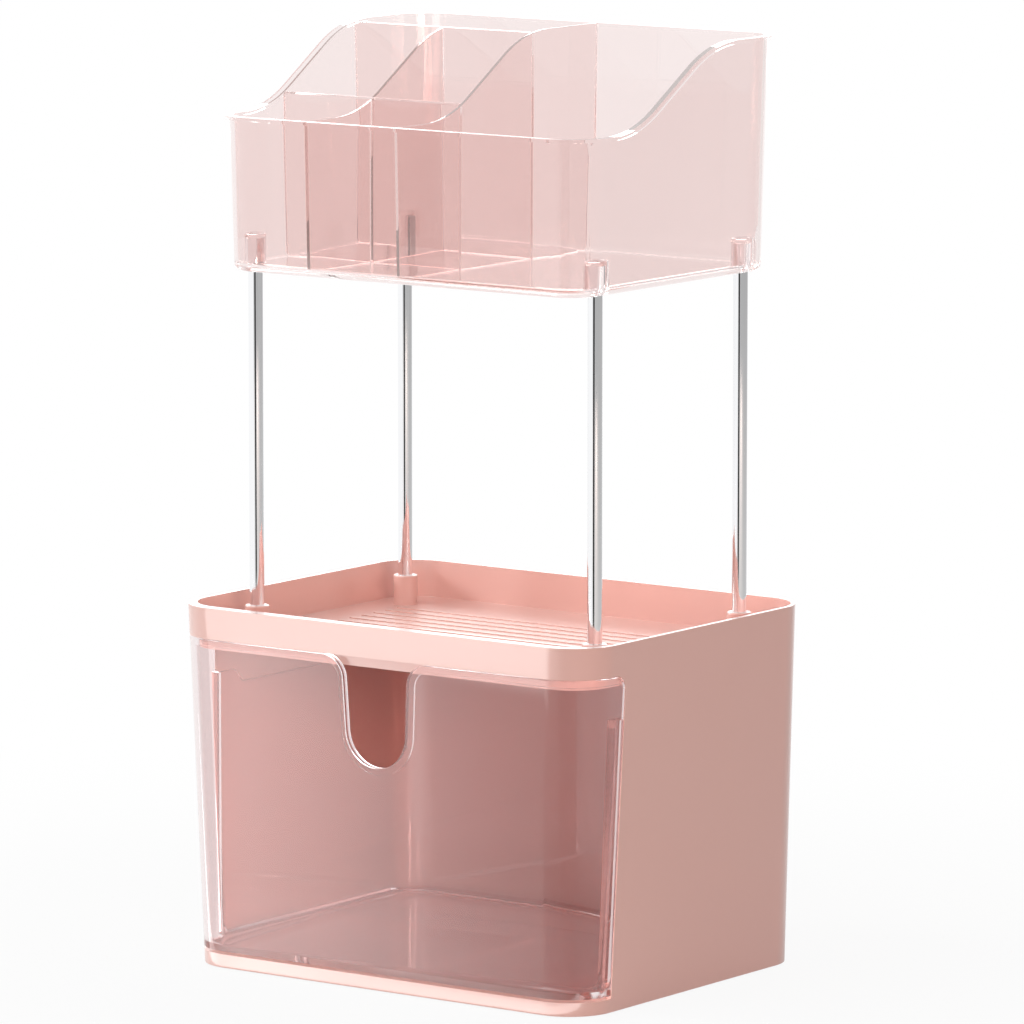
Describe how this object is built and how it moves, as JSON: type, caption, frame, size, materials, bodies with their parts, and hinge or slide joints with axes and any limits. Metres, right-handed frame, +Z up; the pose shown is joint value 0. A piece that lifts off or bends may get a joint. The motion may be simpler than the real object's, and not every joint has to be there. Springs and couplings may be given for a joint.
{
  "type": "makeup organizer with drawer",
  "caption": "Desktop makeup organizer: tinted clear bin with dividers on four chrome tubes above a rounded cabinet with a shallow tray and a clear drawer with a finger notch.",
  "frame": {"origin": "middle of the bounding box's footprint, on the surface that the feet stand on", "axes": "+Z up, +X to the right as seen from the drawer's side, +Y to the back; the drawer opens towards -Y"},
  "size_m": [0.26, 0.2, 0.4747],
  "materials": {
    "cabinet_pink": "satin to glossy opaque moulded plastic",
    "drawer_clear": "polished transparent plastic with a pink-grey tint",
    "bin_clear": "polished transparent plastic with a pale pink tint",
    "chrome_tube": "mirror",
    "foot_rubber": "matte, translucent grey"
  },
  "bodies": {
    "frame": {"cabinet": "cabinet_pink", "foot_front_left": "foot_rubber", "foot_front_right": "foot_rubber", "foot_back_left": "foot_rubber", "foot_back_right": "foot_rubber", "tube_front_left": "chrome_tube", "tube_front_right": "chrome_tube", "tube_back_left": "chrome_tube", "tube_back_right": "chrome_tube", "bin_shell": "bin_clear", "long_divider": "bin_clear", "front_divider": "bin_clear", "middle_divider": "bin_clear", "low_cross_wall": "bin_clear", "tall_cross_wall": "bin_clear"},
    "drawer": {"drawer": "drawer_clear"}
  },
  "joints": [
    {"name": "drawer_slide", "type": "slide", "parent": "frame", "child": "drawer", "axis": [0, -1, 0], "range_m": [0, 0.14]}
  ]
}
